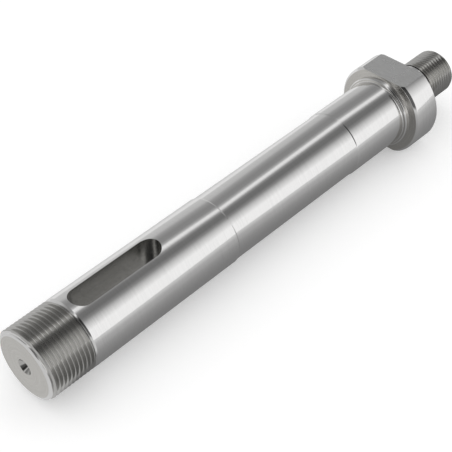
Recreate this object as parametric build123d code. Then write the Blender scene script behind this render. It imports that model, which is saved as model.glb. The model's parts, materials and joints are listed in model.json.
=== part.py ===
"""Stepped spindle shaft, turned from one steel bar.

Frame: the shaft's axis is X, pointing to the small threaded stub, with the origin
on the axis halfway along.  Z is square to the wrench flats and to the keyway's
floor.  Millimetres and degrees.
"""
import math
import os

from build123d import *

# --- large threaded end ---
front_thread_dia = 34.95       # over the crests
front_thread_pitch = 2.12      # 12 turns to the inch
front_thread_length = 23.8     # face to the foot of the journal's shoulder
front_thread_clocking = 115.0  # where the thread starts, from +Y towards +Z
front_face_dia = 30.4          # flat face inside the lead-in chamfer
front_chamfer_axial = 1.25     # shallow chamfer, about 30 degrees to the face

# --- journals ---
drive_journal_dia = 35.0       # ground, carries the keyed pulley
drive_journal_end = 111.5      # face of the large end to the first step
middle_dia = 34.2              # relieved length between the two seats
middle_length = 85.7
step_chamfer = 0.4
seat_dia = 35.0                # ground bearing seat against the collar
seat_length = 36.1
seat_fillet = 0.7              # where the seat runs into the abutment land

# --- collar with two wrench flats ---
land_dia = 38.4                # abutment land standing off the collar's face
land_height = 2.8
land_edge_chamfer = 0.55
collar_dia = 49.0
collar_width = 17.0
collar_front_chamfer = 1.2
collar_back_chamfer = 0.8
across_flats = 41.0

# --- small threaded stub ---
stub_neck_dia = 24.0
stub_neck_length = 11.4
stub_thread_dia = 23.8         # over the crests
stub_thread_pitch = 2.0
stub_thread_clocking = 216.0
stub_length = 32.1             # collar to end
stub_end_chamfer = 1.3

# --- keyway, closed at both ends ---
keyway_width = 12.0
keyway_length = 50.4           # over the round ends
keyway_depth = 8.9             # from the journal's crown to the floor
keyway_land = 2.2              # shoulder edge to the keyway's near end

# --- centre holes, one in each end ---
centre_mouth_dia = 8.0
centre_cone_angle = 60.0
centre_pilot_dia = 3.15
centre_pilot_depth = 3.9       # beyond the cone

# --- thread form ---
thread_flank_angle = 60.0
thread_depth_ratio = 0.6134    # of the pitch
crest_flat_ratio = 0.125       # of the pitch
crest_relief = 0.15            # lead-in rings stand this far below the crests
ring_entry = 0.3               # of the pitch, from the lead-in chamfer to the ridge
shoulder_entry = 0.45          # of the pitch, from the shoulder to the ridge

# --- positions along the axis, from the large end's face ---
step_1 = drive_journal_end
step_2 = step_1 + middle_length
land_face = step_2 + seat_length
collar_face = land_face + land_height
collar_back = collar_face + collar_width
thread_2_start = collar_back + stub_neck_length
overall_length = collar_back + stub_length


def root_radius(crest_dia, pitch):
    return crest_dia / 2 - thread_depth_ratio * pitch


def turned_blank():
    """Half section of the blank, threads at root size, revolved about the axis."""
    root_1 = root_radius(front_thread_dia, front_thread_pitch)
    root_2 = root_radius(stub_thread_dia, stub_thread_pitch)
    ring_1 = front_thread_dia / 2 - crest_relief
    ring_2 = stub_thread_dia / 2 - crest_relief
    ring_width = front_thread_pitch / 8
    drive_r = drive_journal_dia / 2
    middle_r = middle_dia / 2
    seat_r = seat_dia / 2
    land_r = land_dia / 2
    collar_r = collar_dia / 2
    neck_r = stub_neck_dia / 2
    shoulder = drive_r - root_1
    chamfer_2 = overall_length - stub_end_chamfer
    section = [
        (0, 0),
        (0, front_face_dia / 2),
        (front_chamfer_axial, ring_1),
        (front_chamfer_axial + ring_width, ring_1),
        (front_chamfer_axial + ring_width + ring_1 - root_1, root_1),
        (front_thread_length, root_1),
        (front_thread_length + shoulder, drive_r),
        (step_1 - step_chamfer, drive_r),
        (step_1, middle_r),
        (step_2, middle_r),
        (step_2 + step_chamfer, seat_r),
        (land_face, seat_r),
        (land_face, land_r - land_edge_chamfer),
        (land_face + land_edge_chamfer, land_r),
        (collar_face, land_r),
        (collar_face, collar_r - collar_front_chamfer),
        (collar_face + collar_front_chamfer, collar_r),
        (collar_back - collar_back_chamfer, collar_r),
        (collar_back, collar_r - collar_back_chamfer),
        (collar_back, neck_r),
        (thread_2_start, neck_r),
        (thread_2_start + neck_r - root_2, root_2),
        (chamfer_2 - ring_width - ring_2 + root_2, root_2),
        (chamfer_2 - ring_width, ring_2),
        (chamfer_2, ring_2),
        (overall_length, ring_2 - stub_end_chamfer),
        (overall_length, 0),
    ]
    blank = revolve(make_face(Polyline(*section, close=True)), Axis.X, 360)

    def corner(position, radius):
        rings = blank.edges().filter_by(GeomType.CIRCLE)
        return rings.filter_by(
            lambda e: abs(e.center().X - position) < 1e-3 and abs(e.radius - radius) < 1e-3
        )

    return fillet(corner(land_face, seat_r), seat_fillet)


def thread_ridge(crest_dia, pitch, first, last, clocking):
    """Right-handed ridge whose middle runs from first to last along X."""
    root_r = root_radius(crest_dia, pitch)
    depth = crest_dia / 2 - root_r
    bite = pitch / 20
    crest = crest_flat_ratio * pitch / 2
    foot = crest + (depth + bite) * math.tan(math.radians(thread_flank_angle / 2))
    helix = Helix(pitch=pitch, height=last - first, radius=root_r - bite)
    start = Plane(origin=helix @ 0, x_dir=(1, 0, 0), z_dir=helix % 0)
    outline = [(0, -foot), (depth + bite, -crest), (depth + bite, crest), (0, foot)]
    ridge = sweep(make_face(start * Polyline(*outline, close=True)), path=helix, is_frenet=True)
    return Pos(first, 0, 0) * Rot(clocking + 90, 0, 0) * Rot(0, 90, 0) * ridge


def threads():
    """Each ridge runs out inside the blank: in the lead-in ring and in the shoulder."""
    front = thread_ridge(
        front_thread_dia,
        front_thread_pitch,
        front_chamfer_axial + ring_entry * front_thread_pitch,
        front_thread_length - shoulder_entry * front_thread_pitch,
        front_thread_clocking,
    )
    stub = thread_ridge(
        stub_thread_dia,
        stub_thread_pitch,
        thread_2_start + shoulder_entry * stub_thread_pitch,
        overall_length - stub_end_chamfer - ring_entry * stub_thread_pitch,
        stub_thread_clocking,
    )
    return [front, stub]


def wrench_flats():
    """Slabs milled off the collar above and below, clear of the land."""
    slab = Box(collar_width + 1, collar_dia, collar_dia)
    lift = (across_flats + collar_dia) / 2
    middle = collar_face + (collar_width + 1) / 2 - 0.5
    return [Pos(middle, 0, lift) * slab, Pos(middle, 0, -lift) * slab]


def keyway():
    """Slot cut by an end mill as wide as the key."""
    start = front_thread_length + drive_journal_dia / 2 + keyway_land
    start -= root_radius(front_thread_dia, front_thread_pitch)
    floor = drive_journal_dia / 2 - keyway_depth
    slot = extrude(SlotOverall(keyway_length, keyway_width), drive_journal_dia / 2)
    return Pos(start + keyway_length / 2, 0, floor) * slot


def centre_hole():
    """Cone and pilot drilled along +X into a face at X = 0."""
    mouth_r = centre_mouth_dia / 2
    pilot_r = centre_pilot_dia / 2
    cone = (mouth_r - pilot_r) / math.tan(math.radians(centre_cone_angle / 2))
    tip = pilot_r / math.tan(math.radians(59))
    section = [
        (-1, 0),
        (-1, mouth_r),
        (0, mouth_r),
        (cone, pilot_r),
        (cone + centre_pilot_depth, pilot_r),
        (cone + centre_pilot_depth + tip, 0),
    ]
    return revolve(make_face(Polyline(*section, close=True)), Axis.X, 360)


def stepped_shaft():
    shaft = turned_blank()
    for ridge in threads():
        shaft += ridge
    for slab in wrench_flats():
        shaft -= slab
    shaft -= keyway()
    shaft -= centre_hole()
    shaft -= Pos(overall_length, 0, 0) * Rot(0, 0, 180) * centre_hole()
    return Pos(-overall_length / 2, 0, 0) * shaft


os.makedirs("parts", exist_ok=True)
shaft = stepped_shaft()
shaft.label = "stepped_shaft"
export_step(shaft, "parts/stepped_shaft.step")
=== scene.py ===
import json
import math

import bmesh
import bpy
from mathutils import Matrix, Vector


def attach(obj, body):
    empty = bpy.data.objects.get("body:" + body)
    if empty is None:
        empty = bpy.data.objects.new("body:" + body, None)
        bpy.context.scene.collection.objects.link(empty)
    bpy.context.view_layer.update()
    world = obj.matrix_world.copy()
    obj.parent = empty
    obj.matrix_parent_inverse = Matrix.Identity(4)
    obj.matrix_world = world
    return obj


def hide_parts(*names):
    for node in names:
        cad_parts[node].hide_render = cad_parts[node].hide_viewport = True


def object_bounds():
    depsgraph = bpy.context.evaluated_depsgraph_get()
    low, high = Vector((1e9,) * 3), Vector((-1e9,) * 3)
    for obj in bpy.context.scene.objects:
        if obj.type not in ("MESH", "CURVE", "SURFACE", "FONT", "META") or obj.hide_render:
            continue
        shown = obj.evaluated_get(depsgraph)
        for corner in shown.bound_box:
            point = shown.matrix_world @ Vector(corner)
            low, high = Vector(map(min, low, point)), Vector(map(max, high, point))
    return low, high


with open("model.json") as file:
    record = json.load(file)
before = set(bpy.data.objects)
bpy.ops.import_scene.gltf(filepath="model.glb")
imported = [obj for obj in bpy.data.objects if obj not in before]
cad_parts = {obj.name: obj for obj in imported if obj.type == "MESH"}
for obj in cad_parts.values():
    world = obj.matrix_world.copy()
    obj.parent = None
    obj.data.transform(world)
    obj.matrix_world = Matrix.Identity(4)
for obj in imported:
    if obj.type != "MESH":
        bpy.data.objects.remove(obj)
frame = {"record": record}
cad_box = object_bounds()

scene = bpy.context.scene
scene.view_settings.view_transform = "Standard"

# ---------------------------------------------------------------------------
# The bar.  A spindle shaft turned and ground from one bar of bright steel.
# Everything on it is measured in millimetres from the face of its large end,
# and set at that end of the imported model.
# ---------------------------------------------------------------------------
MM = 0.001
AROUND = 240
large_face = cad_box[0][0]
overall = (cad_box[1][0] - cad_box[0][0]) / MM
mounts = {mount["name"]: mount for mount in frame["record"]["mounts"]}


def station(name):
    """Distance of a mount from the large end's face, in millimetres."""
    return (mounts[name]["pos_m"][0] - large_face) / MM


def broken(profile, size):
    """Rounds each inner corner of an (x, r) profile with three points."""
    out = [profile[0]]
    for before, corner, after in zip(profile, profile[1:], profile[2:]):
        to_before = Vector(before) - Vector(corner)
        to_after = Vector(after) - Vector(corner)
        bend = math.pi - to_before.angle(to_after, math.pi)
        reach = min(size, 0.4 * to_before.length, 0.4 * to_after.length)
        if bend < math.radians(12) or reach < 1e-4:
            out.append(corner)
            continue
        first = Vector(corner) + to_before.normalized() * reach
        last = Vector(corner) + to_after.normalized() * reach
        for t in (0.0, 0.5, 1.0):
            out.append(tuple(first * (1 - t) ** 2 + 2 * t * (1 - t) * Vector(corner) + last * t**2))
    out.append(profile[-1])
    return out


def turned(name, profile):
    """A surface turned about the shaft's axis from an (x, r) profile."""
    bm = bmesh.new()
    rings = []
    for x, r in profile:
        if r < 1e-4:
            rings.append([bm.verts.new((large_face + x * MM, 0, 0))])
            continue
        ring = []
        for step in range(AROUND):
            angle = math.tau * step / AROUND
            place = (large_face + x * MM, r * MM * math.cos(angle), r * MM * math.sin(angle))
            ring.append(bm.verts.new(place))
        rings.append(ring)
    for ring, following in zip(rings, rings[1:]):
        for step in range(AROUND):
            after = (step + 1) % AROUND
            corners = [ring[step % len(ring)], ring[after % len(ring)]]
            corners += [following[after % len(following)], following[step % len(following)]]
            bm.faces.new(list(dict.fromkeys(corners)))
    mesh = bpy.data.meshes.new(name)
    bm.to_mesh(mesh)
    bm.free()
    return mesh


# ---------------------------------------------------------------------------
# Journals and collar.  The long ground surfaces between the two threads, with
# the relieved middle, the bearing seat, its abutment land and the collar, all
# left by one grinding and facing of the same bar, edges broken with a stone.
# ---------------------------------------------------------------------------
seat_r = mounts["bearing_seat"]["dims"]["r_mm"]
journal_r = seat_r
neck_r = mounts["stub_neck"]["dims"]["r_mm"]
large_thread_end = 23.8
large_thread_crest = 17.475
large_thread_pitch = 2.12
thread_depth = 0.6134
large_root = large_thread_crest - thread_depth * large_thread_pitch
journal_start = large_thread_end + journal_r - large_root
first_step = 111.5
second_step = 197.2
middle_r = 17.1
step_chamfer = 0.4
seat_fillet_r = 0.7
land_face = station("bearing_abutment")
land_r = 19.2
land_chamfer = 0.55
collar_face = land_face + 2.8
collar_r = 24.5
collar_front_chamfer = 1.2
collar_back_chamfer = 0.8
collar_back = station("flange_face")
neck_length = mounts["stub_neck"]["dims"]["length_mm"]
stub_thread_crest = 11.9
stub_thread_pitch = 2.0
stub_root = stub_thread_crest - thread_depth * stub_thread_pitch
stub_thread_start = collar_back + neck_length
edge_break = 0.16
seat_fillet = [
    (land_face - seat_fillet_r * (1 - math.sin(a)), seat_r + seat_fillet_r * (1 - math.cos(a)))
    for a in (0, math.pi / 6, math.pi / 3, math.pi / 2)
]
journals = [
    (large_thread_end, large_root),
    (journal_start, journal_r),
    (first_step - step_chamfer, journal_r),
    (first_step, middle_r),
    (second_step, middle_r),
    (second_step + step_chamfer, seat_r),
    *seat_fillet,
    (land_face, land_r - land_chamfer),
    (land_face + land_chamfer, land_r),
    (collar_face, land_r),
    (collar_face, collar_r - collar_front_chamfer),
    (collar_face + collar_front_chamfer, collar_r),
    (collar_back - collar_back_chamfer, collar_r),
    (collar_back, collar_r - collar_back_chamfer),
    (collar_back, neck_r),
    (stub_thread_start, neck_r),
    (stub_thread_start + neck_r - stub_root, stub_root),
]
middle_mesh = turned("journals", broken(journals, edge_break))

# ---------------------------------------------------------------------------
# Ends.  Each end is faced flat and drilled with a 60 degree centre, in which
# the shaft turned between the lathe's and the grinder's centres.
# ---------------------------------------------------------------------------
centre_mouth_r = 4.0
centre_pilot_r = 1.575
centre_cone = (centre_mouth_r - centre_pilot_r) / math.tan(math.radians(30))
centre_pilot = 3.9
large_chamfer = 1.25
large_face_r = 15.2
stub_chamfer = 1.3
stub_face_r = stub_thread_crest - 0.15 - stub_chamfer


def faced_end(rim_r):
    """Profile from the bottom of the centre hole out to the face's rim."""
    return [
        (centre_cone + centre_pilot + 0.9, 0),
        (centre_cone + centre_pilot, centre_pilot_r),
        (centre_cone, centre_pilot_r),
        (0.12, centre_mouth_r - 0.07),
        (0, centre_mouth_r + 0.1),
        *[(0, centre_mouth_r + (rim_r - centre_mouth_r) * part) for part in (0.35, 0.7, 0.96)],
        (0, rim_r),
    ]


large_end_mesh = turned("large_end", faced_end(large_face_r))
small_end = [(overall - x, r) for x, r in reversed(faced_end(stub_face_r))]
small_end_mesh = turned("small_end", small_end)

# ---------------------------------------------------------------------------
# Threads.  Both are right-handed 60 degree threads with flat crests, cut on the
# lathe.  Every row of the mesh follows the helix, so crests and roots stay true
# edges, and the ends are trimmed by the lead-in chamfer and the shoulder.
# ---------------------------------------------------------------------------
thread_tree = bpy.data.node_groups.new("Helical thread", "GeometryNodeTree")
thread_tree.is_modifier = True
thread_tree.interface.new_socket("Geometry", in_out="OUTPUT", socket_type="NodeSocketGeometry")
thread_inputs = {}
for label, kind, default in (
    ("From", "NodeSocketFloat", 0.0),
    ("To", "NodeSocketFloat", 20.0),
    ("Pitch", "NodeSocketFloat", 2.0),
    ("Crest Radius", "NodeSocketFloat", 10.0),
    ("Depth", "NodeSocketFloat", 1.2),
    ("Clocking", "NodeSocketFloat", 0.0),
    ("Left Radius", "NodeSocketFloat", 9.0),
    ("Left Slope", "NodeSocketFloat", 1.0),
    ("Right Radius", "NodeSocketFloat", 9.0),
    ("Right Slope", "NodeSocketFloat", 1.0),
    ("Shoulder Right", "NodeSocketFloat", 1.0),
    ("Rows", "NodeSocketInt", 100),
    ("Around", "NodeSocketInt", 240),
    ("Material", "NodeSocketMaterial", None),
):
    socket = thread_tree.interface.new_socket(label, in_out="INPUT", socket_type=kind)
    if default is not None:
        socket.default_value = default
    thread_inputs[label] = socket.identifier


def thread_nodes(tree):
    """Fills the tree: a flat grid is wrapped to the helix, then given its thread."""
    nodes, links = tree.nodes, tree.links
    given = nodes.new("NodeGroupInput").outputs

    def math_node(operation, *values):
        node = nodes.new("ShaderNodeMath")
        node.operation = operation
        for socket, value in zip(node.inputs, values):
            if isinstance(value, (int, float)):
                socket.default_value = value
            else:
                links.new(value, socket)
        return node.outputs[0]

    grid = nodes.new("GeometryNodeMeshGrid")
    grid.inputs["Size X"].default_value = 1.0
    grid.inputs["Size Y"].default_value = 1.0
    links.new(given["Rows"], grid.inputs["Vertices X"])
    columns = math_node("ADD", given["Around"], 1)
    links.new(columns, grid.inputs["Vertices Y"])
    place = nodes.new("GeometryNodeInputPosition")
    flat = nodes.new("ShaderNodeSeparateXYZ")
    links.new(place.outputs[0], flat.inputs[0])
    turn = math_node("ADD", flat.outputs["Y"], 0.5)
    row = math_node("ADD", flat.outputs["X"], 0.5)
    row = math_node("MULTIPLY", row, math_node("SUBTRACT", given["Rows"], 1))

    # along the axis: sixteen rows to a pitch, each a turn of the helix
    lead = math_node("ADD", math_node("MULTIPLY", row, 1 / 16), turn)
    wound = math_node("MULTIPLY", math_node("SUBTRACT", lead, 1), given["Pitch"])
    wound = math_node("ADD", given["From"], wound)
    along = math_node("MINIMUM", math_node("MAXIMUM", wound, given["From"]), given["To"])

    # thread form: distance from the nearest crest, in pitches
    phase = math_node("DIVIDE", math_node("SUBTRACT", along, given["From"]), given["Pitch"])
    phase = math_node("SUBTRACT", phase, math_node("SUBTRACT", turn, given["Clocking"]))
    away = math_node("FRACT", math_node("ADD", phase, 0.5))
    away = math_node("ABSOLUTE", math_node("SUBTRACT", away, 0.5))
    height = math_node("DIVIDE", math_node("SUBTRACT", 7 / 16, away), 6 / 16)
    height = math_node("MINIMUM", math_node("MAXIMUM", height, 0), 1)
    # the crests are very slightly rounded where the die or the stone passed
    rounding = math_node("MULTIPLY", math_node("POWER", math_node("MULTIPLY", away, 16), 2), 0.02)
    height = math_node("SUBTRACT", height, math_node("MINIMUM", rounding, 0.04))
    root = math_node("SUBTRACT", given["Crest Radius"], given["Depth"])
    thread = math_node("ADD", root, math_node("MULTIPLY", height, given["Depth"]))

    # the free end is trimmed by its chamfer, the inner end runs into the shoulder
    from_left = math_node("SUBTRACT", along, given["From"])
    from_right = math_node("SUBTRACT", given["To"], along)
    left = math_node("ADD", given["Left Radius"], math_node("MULTIPLY", from_left, given["Left Slope"]))
    right = math_node("ADD", given["Right Radius"], math_node("MULTIPLY", from_right, given["Right Slope"]))
    free_left = math_node("MAXIMUM", math_node("MINIMUM", thread, left), right)
    free_right = math_node("MAXIMUM", math_node("MINIMUM", thread, right), left)
    share = given["Shoulder Right"]
    radius = math_node("MULTIPLY", free_left, share)
    radius = math_node("ADD", radius, math_node("MULTIPLY", free_right, math_node("SUBTRACT", 1, share)))

    angle = math_node("MULTIPLY", turn, math.tau)
    sideways = math_node("MULTIPLY", radius, math_node("COSINE", angle))
    upward = math_node("MULTIPLY", radius, math_node("SINE", angle))
    wrapped = nodes.new("ShaderNodeCombineXYZ")
    for socket, value in zip(wrapped.inputs, (along, sideways, upward)):
        links.new(value, socket)
    metres = nodes.new("ShaderNodeVectorMath")
    metres.operation = "SCALE"
    metres.inputs["Scale"].default_value = MM
    links.new(wrapped.outputs[0], metres.inputs[0])
    moved = nodes.new("GeometryNodeSetPosition")
    links.new(grid.outputs["Mesh"], moved.inputs["Geometry"])
    links.new(metres.outputs[0], moved.inputs["Position"])
    merged = nodes.new("GeometryNodeMergeByDistance")
    merged.inputs["Distance"].default_value = 1e-6
    links.new(moved.outputs[0], merged.inputs[0])
    real = nodes.new("GeometryNodeRealizeInstances")
    links.new(merged.outputs[0], real.inputs[0])
    finish = nodes.new("GeometryNodeSetMaterial")
    links.new(real.outputs[0], finish.inputs["Geometry"])
    links.new(given["Material"], finish.inputs["Material"])
    out = nodes.new("NodeGroupOutput")
    links.new(finish.outputs[0], out.inputs["Geometry"])


thread_nodes(thread_tree)


def thread_mesh(name, sizes):
    """Runs the thread tree with these sizes and returns its mesh, at the shaft's large end."""
    holder = bpy.data.objects.new(name, bpy.data.meshes.new(name))
    scene.collection.objects.link(holder)
    modifier = holder.modifiers.new("thread", "NODES")
    modifier.node_group = thread_tree
    for label, value in sizes.items():
        modifier[thread_inputs[label]] = value
    evaluated = holder.evaluated_get(bpy.context.evaluated_depsgraph_get())
    mesh = bpy.data.meshes.new_from_object(evaluated)
    mesh.transform(Matrix.Translation((large_face, 0, 0)))
    bpy.data.objects.remove(holder)
    return mesh


large_thread_mesh = thread_mesh("large_thread", {
    "From": 0.0,
    "To": large_thread_end,
    "Pitch": large_thread_pitch,
    "Crest Radius": large_thread_crest,
    "Depth": thread_depth * large_thread_pitch,
    "Clocking": 0.36,
    "Left Radius": large_face_r,
    "Left Slope": (large_thread_crest - large_face_r) / large_chamfer,
    "Right Radius": large_root,
    "Right Slope": -1.0,
    "Shoulder Right": 1.0,
    "Rows": 16 * 13 + 1,
    "Around": AROUND,
})
stub_from = stub_thread_start + neck_r - stub_root
stub_thread_mesh = thread_mesh("stub_thread", {
    "From": stub_from,
    "To": overall,
    "Pitch": stub_thread_pitch,
    "Crest Radius": stub_thread_crest,
    "Depth": thread_depth * stub_thread_pitch,
    "Clocking": 0.1,
    "Left Radius": stub_root,
    "Left Slope": -1.0,
    "Right Radius": stub_face_r,
    "Right Slope": 1.0,
    "Shoulder Right": 0.0,
    "Rows": 16 * 12 + 1,
    "Around": AROUND,
})

# ---------------------------------------------------------------------------
# One piece.  The turned stretches and the threads are the same bar, so they are
# sewn into one closed skin, before the milling machine takes its two cuts.
# ---------------------------------------------------------------------------
bm = bmesh.new()
for stretch in (large_end_mesh, large_thread_mesh, middle_mesh, stub_thread_mesh, small_end_mesh):
    bm.from_mesh(stretch)
bmesh.ops.remove_doubles(bm, verts=bm.verts, dist=2e-6)
bmesh.ops.recalc_face_normals(bm, faces=bm.faces)
shaft_mesh = bpy.data.meshes.new("stepped_shaft_skin")
bm.to_mesh(shaft_mesh)
bm.free()
shaft = bpy.data.objects.new("stepped_shaft_skin", shaft_mesh)
scene.collection.objects.link(shaft)

# ---------------------------------------------------------------------------
# Keyway and wrench flats.  The keyway is a closed slot with round ends, sunk by
# an end mill; the collar's two flats are milled square to it, for a wrench.
# ---------------------------------------------------------------------------
keyway_start = journal_start + 2.2
keyway_length = 50.4
keyway_r = 6.0
keyway_floor = journal_r - 8.9
flat_height = mounts["wrench_flat_top"]["pos_m"][2] / MM


def prism(bm, outline, low, high):
    """Adds an upright prism over a plan outline, in millimetres from the large end."""
    rings = []
    for z in (low, high):
        rings.append([bm.verts.new((large_face + x * MM, y * MM, z * MM)) for x, y in outline])
    bm.faces.new(list(reversed(rings[0])))
    bm.faces.new(rings[1])
    count = len(outline)
    for i in range(count):
        j = (i + 1) % count
        bm.faces.new([rings[0][i], rings[0][j], rings[1][j], rings[1][i]])


slot = []
for centre, start in ((keyway_start + keyway_length - keyway_r, -90), (keyway_start + keyway_r, 90)):
    for step in range(25):
        angle = math.radians(start + 180 * step / 24)
        slot.append((centre + keyway_r * math.cos(angle), keyway_r * math.sin(angle)))
cutter_bm = bmesh.new()
prism(cutter_bm, slot, keyway_floor, journal_r + 3)
square = [(collar_face - 1, -30), (collar_back + 1, -30), (collar_back + 1, 30), (collar_face - 1, 30)]
prism(cutter_bm, square, flat_height, 30)
prism(cutter_bm, square, -30, -flat_height)
bmesh.ops.recalc_face_normals(cutter_bm, faces=cutter_bm.faces)
cutter_mesh = bpy.data.meshes.new("milling")
cutter_bm.to_mesh(cutter_mesh)
cutter_bm.free()
cutter = bpy.data.objects.new("milling", cutter_mesh)
scene.collection.objects.link(cutter)
milled = shaft.modifiers.new("milled", "BOOLEAN")
milled.object = cutter
milled.operation = "DIFFERENCE"
milled.solver = "EXACT"
evaluated = shaft.evaluated_get(bpy.context.evaluated_depsgraph_get())
finished = bpy.data.meshes.new_from_object(evaluated)
shaft.modifiers.clear()
shaft.data = finished
bpy.data.objects.remove(cutter)

# ---------------------------------------------------------------------------
# Finishes.  All bright steel, told apart by the tool that left each surface:
# ground journals, threads cut on the lathe, faced ends, milled flats and slot.
# ---------------------------------------------------------------------------
marks = bpy.data.node_groups.new("Tool marks", "ShaderNodeTree")
for label, default in (
    ("Along", 900.0),
    ("Across", 30.0),
    ("Strength", 1.0),
):
    marks.interface.new_socket(label, in_out="INPUT", socket_type="NodeSocketFloat").default_value = default
marks.interface.new_socket("Vector", in_out="INPUT", socket_type="NodeSocketVector")
marks.interface.new_socket("Lines", in_out="OUTPUT", socket_type="NodeSocketFloat")
marks.interface.new_socket("Cloud", in_out="OUTPUT", socket_type="NodeSocketFloat")


def mark_nodes(tree):
    """Lines square to the vector's X, and slow cloudy variation."""
    nodes, links = tree.nodes, tree.links
    given = nodes.new("NodeGroupInput").outputs
    parts = nodes.new("ShaderNodeSeparateXYZ")
    links.new(given["Vector"], parts.inputs[0])
    stretched = nodes.new("ShaderNodeCombineXYZ")
    for axis, scale in (("X", "Along"), ("Y", "Across"), ("Z", "Across")):
        node = nodes.new("ShaderNodeMath")
        node.operation = "MULTIPLY"
        links.new(parts.outputs[axis], node.inputs[0])
        links.new(given[scale], node.inputs[1])
        links.new(node.outputs[0], stretched.inputs[axis])
    fine = nodes.new("ShaderNodeTexNoise")
    fine.inputs["Scale"].default_value = 1.0
    fine.inputs["Detail"].default_value = 5.0
    fine.inputs["Roughness"].default_value = 0.7
    links.new(stretched.outputs[0], fine.inputs["Vector"])
    centred = nodes.new("ShaderNodeMath")
    centred.operation = "SUBTRACT"
    centred.inputs[1].default_value = 0.5
    links.new(fine.outputs["Fac"], centred.inputs[0])
    lines = nodes.new("ShaderNodeMath")
    lines.operation = "MULTIPLY"
    links.new(centred.outputs[0], lines.inputs[0])
    links.new(given["Strength"], lines.inputs[1])
    cloud = nodes.new("ShaderNodeTexNoise")
    cloud.inputs["Scale"].default_value = 45.0
    cloud.inputs["Detail"].default_value = 3.0
    links.new(given["Vector"], cloud.inputs["Vector"])
    out = nodes.new("NodeGroupOutput")
    links.new(lines.outputs[0], out.inputs["Lines"])
    links.new(cloud.outputs["Fac"], out.inputs["Cloud"])


mark_nodes(marks)


def steel(name, tone, roughness, along, across, bump, grain=0.1, spread=0.1, facing=False):
    """A steel finish; facing=True turns the marks into rings about the axis."""
    material = bpy.data.materials.new(name)
    material.use_nodes = True
    nodes, links = material.node_tree.nodes, material.node_tree.links
    shader = nodes["Principled BSDF"]
    shader.inputs["Metallic"].default_value = 1.0
    place = nodes.new("ShaderNodeTexCoord").outputs["Object"]
    if facing:
        split = nodes.new("ShaderNodeSeparateXYZ")
        links.new(place, split.inputs[0])
        flat = nodes.new("ShaderNodeCombineXYZ")
        links.new(split.outputs["Y"], flat.inputs["X"])
        links.new(split.outputs["Z"], flat.inputs["Y"])
        length = nodes.new("ShaderNodeVectorMath")
        length.operation = "LENGTH"
        links.new(flat.outputs[0], length.inputs[0])
        polar = nodes.new("ShaderNodeCombineXYZ")
        links.new(length.outputs["Value"], polar.inputs["X"])
        links.new(split.outputs["Y"], polar.inputs["Y"])
        links.new(split.outputs["Z"], polar.inputs["Z"])
        place = polar.outputs[0]
    group = nodes.new("ShaderNodeGroup")
    group.node_tree = marks
    group.inputs["Along"].default_value = along
    group.inputs["Across"].default_value = across
    group.inputs["Strength"].default_value = 1.0
    links.new(place, group.inputs["Vector"])
    colour = nodes.new("ShaderNodeMix")
    colour.data_type = "RGBA"
    colour.inputs["A"].default_value = (*[(1 - grain) * c for c in tone], 1)
    colour.inputs["B"].default_value = (*[min(1.0, (1 + grain) * c) for c in tone], 1)
    shift = nodes.new("ShaderNodeMath")
    shift.operation = "ADD"
    shift.inputs[1].default_value = 0.5
    links.new(group.outputs["Lines"], shift.inputs[0])
    links.new(shift.outputs[0], colour.inputs["Factor"])
    links.new(colour.outputs["Result"], shader.inputs["Base Color"])
    rough = nodes.new("ShaderNodeMapRange")
    rough.inputs["From Min"].default_value = 0.3
    rough.inputs["From Max"].default_value = 0.7
    rough.inputs["To Min"].default_value = roughness - spread * roughness
    rough.inputs["To Max"].default_value = roughness + spread * roughness
    links.new(group.outputs["Cloud"], rough.inputs["Value"])
    links.new(rough.outputs["Result"], shader.inputs["Roughness"])
    relief = nodes.new("ShaderNodeBump")
    relief.inputs["Strength"].default_value = bump
    relief.inputs["Distance"].default_value = 0.00005
    links.new(group.outputs["Lines"], relief.inputs["Height"])
    links.new(relief.outputs["Normal"], shader.inputs["Normal"])
    return material


ground_steel = steel("Ground steel", (0.80, 0.795, 0.79), 0.09, 2600, 60, 0.35, grain=0.12)
threaded_steel = steel("Lathe-cut thread", (0.54, 0.535, 0.52), 0.13, 1500, 80, 0.3, grain=0.15)
faced_steel = steel("Faced steel", (0.64, 0.625, 0.595), 0.24, 2200, 60, 0.6, grain=0.2, facing=True)
milled_steel = steel("Milled flats", (0.84, 0.84, 0.83), 0.27, 1400, 200, 0.7, grain=0.2)
slot_steel = steel("End-milled slot", (0.50, 0.495, 0.48), 0.22, 1200, 500, 0.9, grain=0.3)
finishes = [ground_steel, threaded_steel, faced_steel, milled_steel, slot_steel]
for material in finishes:
    finished.materials.append(material)

for face in finished.polygons:
    centre = face.center / MM
    x = (face.center.x - large_face) / MM
    normal = face.normal
    radial = math.hypot(centre.y, centre.z)
    in_slot = keyway_start - 0.1 < x < keyway_start + keyway_length + 0.1 and radial < journal_r - 0.3
    on_flat = abs(abs(centre.z) - flat_height) < 0.01 and collar_face < x < collar_back
    threaded = large_chamfer < x < large_thread_end or stub_from < x < overall - 0.05
    if in_slot and centre.z > 0:
        face.material_index = finishes.index(slot_steel)
    elif on_flat:
        face.material_index = finishes.index(milled_steel)
    elif threaded:
        face.material_index = finishes.index(threaded_steel)
    elif abs(normal.x) > 0.9 or radial < 10:
        face.material_index = finishes.index(faced_steel)
    else:
        face.material_index = finishes.index(ground_steel)
    face.use_smooth = True
finished.set_sharp_from_angle(angle=math.radians(24))

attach(shaft, "root")
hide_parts("stepped_shaft")

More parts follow.
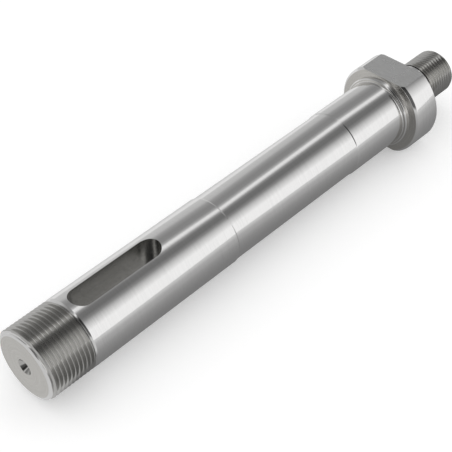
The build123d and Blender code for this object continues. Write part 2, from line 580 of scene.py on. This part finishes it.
# ---------------------------------------------------------------------------
# Studio.  A pale floor under the collar's flat, strip boxes along the shaft for
# its long reflections, and a camera above the large end's near corner.
# ---------------------------------------------------------------------------
floor_z = cad_box[0][2]
floor_mesh = bpy.data.meshes.new("studio_floor")
reach = 40.0
floor_mesh.from_pydata(
    [(x * reach, y * reach, floor_z) for x, y in ((-1, -1), (1, -1), (1, 1), (-1, 1))],
    [],
    [(0, 1, 2, 3)],
)
floor = bpy.data.objects.new("studio_floor", floor_mesh)
scene.collection.objects.link(floor)
paper = bpy.data.materials.new("Pale floor")
paper.use_nodes = True
paper.node_tree.nodes["Principled BSDF"].inputs["Base Color"].default_value = (0.97, 0.97, 0.97, 1)
paper.node_tree.nodes["Principled BSDF"].inputs["Roughness"].default_value = 1.0
paper.node_tree.nodes["Principled BSDF"].inputs["Specular IOR Level"].default_value = 0.0


def painted_floor_shade(tree):
    """Reflections see painted shade on the floor: a grey ramp, darkest under the shaft and out on its near
    side where its shadow falls, and pale paper behind it.
    """
    nodes, links = tree.nodes, tree.links
    split = nodes.new("ShaderNodeSeparateXYZ")
    links.new(nodes.new("ShaderNodeTexCoord").outputs["Object"], split.inputs[0])
    across = nodes.new("ShaderNodeMapRange")
    across.inputs["From Min"].default_value = -0.30
    across.inputs["From Max"].default_value = 0.30
    links.new(split.outputs["Y"], across.inputs["Value"])
    # painted shadow: how dark the floor looks in reflections, darkest under the shaft at Y near 0
    shade_ramp = nodes.new("ShaderNodeValToRGB")
    stops = ((0.0, 0.66), (0.20, 0.55), (0.38, 0.42), (0.46, 0.24), (0.52, 0.14), (0.56, 0.62), (0.75, 0.85))
    while len(shade_ramp.color_ramp.elements) < len(stops):
        shade_ramp.color_ramp.elements.new(0.5)
    for element, (where, level) in zip(shade_ramp.color_ramp.elements, stops):
        element.position = where
        element.color = (level, level, level, 1)
    links.new(across.outputs["Result"], shade_ramp.inputs["Fac"])
    # past the large end the painted shade stops, and reflections see the paper an even grey
    past_end = nodes.new("ShaderNodeMapRange")
    past_end.inputs["From Min"].default_value = large_face
    past_end.inputs["From Max"].default_value = large_face + 0.012
    past_end.inputs["To Min"].default_value = 1.0
    past_end.inputs["To Max"].default_value = 0.0
    links.new(split.outputs["X"], past_end.inputs["Value"])
    seen = nodes.new("ShaderNodeMix")
    seen.data_type = "RGBA"
    links.new(past_end.outputs["Result"], seen.inputs["Factor"])
    links.new(shade_ramp.outputs["Color"], seen.inputs["A"])
    seen.inputs["B"].default_value = (0.66, 0.66, 0.66, 1)
    glow = nodes.new("ShaderNodeEmission")
    links.new(seen.outputs["Result"], glow.inputs["Color"])
    either = nodes.new("ShaderNodeMixShader")
    path = nodes.new("ShaderNodeLightPath")
    links.new(path.outputs["Is Glossy Ray"], either.inputs["Fac"])
    links.new(nodes["Principled BSDF"].outputs[0], either.inputs[1])
    links.new(glow.outputs[0], either.inputs[2])
    # seen by the camera the paper is white, and keeps the shaft's soft shadow
    lift = nodes.new("ShaderNodeEmission")
    links.new(path.outputs["Is Camera Ray"], lift.inputs["Strength"])
    lift.inputs["Color"].default_value = (0.26, 0.26, 0.26, 1)
    both = nodes.new("ShaderNodeAddShader")
    links.new(either.outputs[0], both.inputs[0])
    links.new(lift.outputs[0], both.inputs[1])
    links.new(both.outputs[0], nodes["Material Output"].inputs["Surface"])


painted_floor_shade(paper.node_tree)
floor_mesh.materials.append(paper)

world = bpy.data.worlds.new("Studio")
scene.world = world
world.use_nodes = True


def studio_nodes(tree):
    """White all round for soft light; reflections see strip boxes along the shaft."""
    nodes, links = tree.nodes, tree.links
    nodes.clear()

    def math_node(operation, *values):
        node = nodes.new("ShaderNodeMath")
        node.operation = operation
        for socket, value in zip(node.inputs, values):
            if isinstance(value, (int, float)):
                socket.default_value = value
            else:
                links.new(value, socket)
        return node.outputs[0]

    direction = nodes.new("ShaderNodeTexCoord").outputs["Generated"]
    split = nodes.new("ShaderNodeSeparateXYZ")
    links.new(direction, split.inputs[0])
    # angle round the shaft: 0 at +Y, a quarter straight up, a half at -Y
    around = math_node("DIVIDE", math_node("ARCTAN2", split.outputs["Z"], split.outputs["Y"]), math.pi)
    strips = nodes.new("ShaderNodeValToRGB")
    ramp = strips.color_ramp
    stops = (
        (0.00, 0.80), (0.14, 0.70), (0.21, 0.45), (0.29, 0.34), (0.37, 0.36), (0.415, 0.60),
        (0.44, 1.15), (0.475, 1.1), (0.51, 0.42), (0.55, 0.24), (0.62, 0.22), (0.67, 0.34),
        (0.74, 0.80), (0.84, 1.30), (1.00, 1.30),
    )
    while len(ramp.elements) < len(stops):
        ramp.elements.new(0.5)
    for element, (where, level) in zip(ramp.elements, stops):
        element.position = where
        element.color = (level, level, level, 1)
    links.new(around, strips.inputs["Fac"])
    # the dark side of the studio, where the camera stands
    dark_side = nodes.new("ShaderNodeVectorMath")
    dark_side.operation = "DOT_PRODUCT"
    dark_side.inputs[1].default_value = Vector((-0.66, -0.56, 0.50)).normalized()
    links.new(direction, dark_side.inputs[0])
    shade = nodes.new("ShaderNodeMapRange")
    shade.inputs["From Min"].default_value = 0.80
    shade.inputs["From Max"].default_value = 0.90
    shade.inputs["To Min"].default_value = 1.0
    shade.inputs["To Max"].default_value = 0.12
    links.new(dark_side.outputs["Value"], shade.inputs["Value"])
    studio = math_node("MULTIPLY", strips.outputs["Color"], shade.outputs["Result"])
    path = nodes.new("ShaderNodeLightPath")
    strength = nodes.new("ShaderNodeMix")
    strength.data_type = "FLOAT"
    links.new(path.outputs["Is Glossy Ray"], strength.inputs["Factor"])
    strength.inputs["A"].default_value = 1.06
    links.new(studio, strength.inputs["B"])
    background = nodes.new("ShaderNodeBackground")
    links.new(strength.outputs["Result"], background.inputs["Strength"])
    out = nodes.new("ShaderNodeOutputWorld")
    links.new(background.outputs[0], out.inputs["Surface"])


studio_nodes(world.node_tree)

camera_data = bpy.data.cameras.new("Camera")
camera = bpy.data.objects.new("Camera", camera_data)
scene.collection.objects.link(camera)
scene.camera = camera
camera_data.sensor_width = 36
camera_data.lens = 92.4
camera_data.clip_end = 200
right = Vector((0.6875, -0.7261, -0.0143)).normalized()
up = Vector((0.5, 0.4589, 0.7344))
up = (up - right * up.dot(right)).normalized()
back = right.cross(up)
stand = Vector((large_face - 0.1651, -0.2777, 0.3650))
camera.matrix_world = Matrix.Translation(stand) @ Matrix((right, up, back)).transposed().to_4x4()
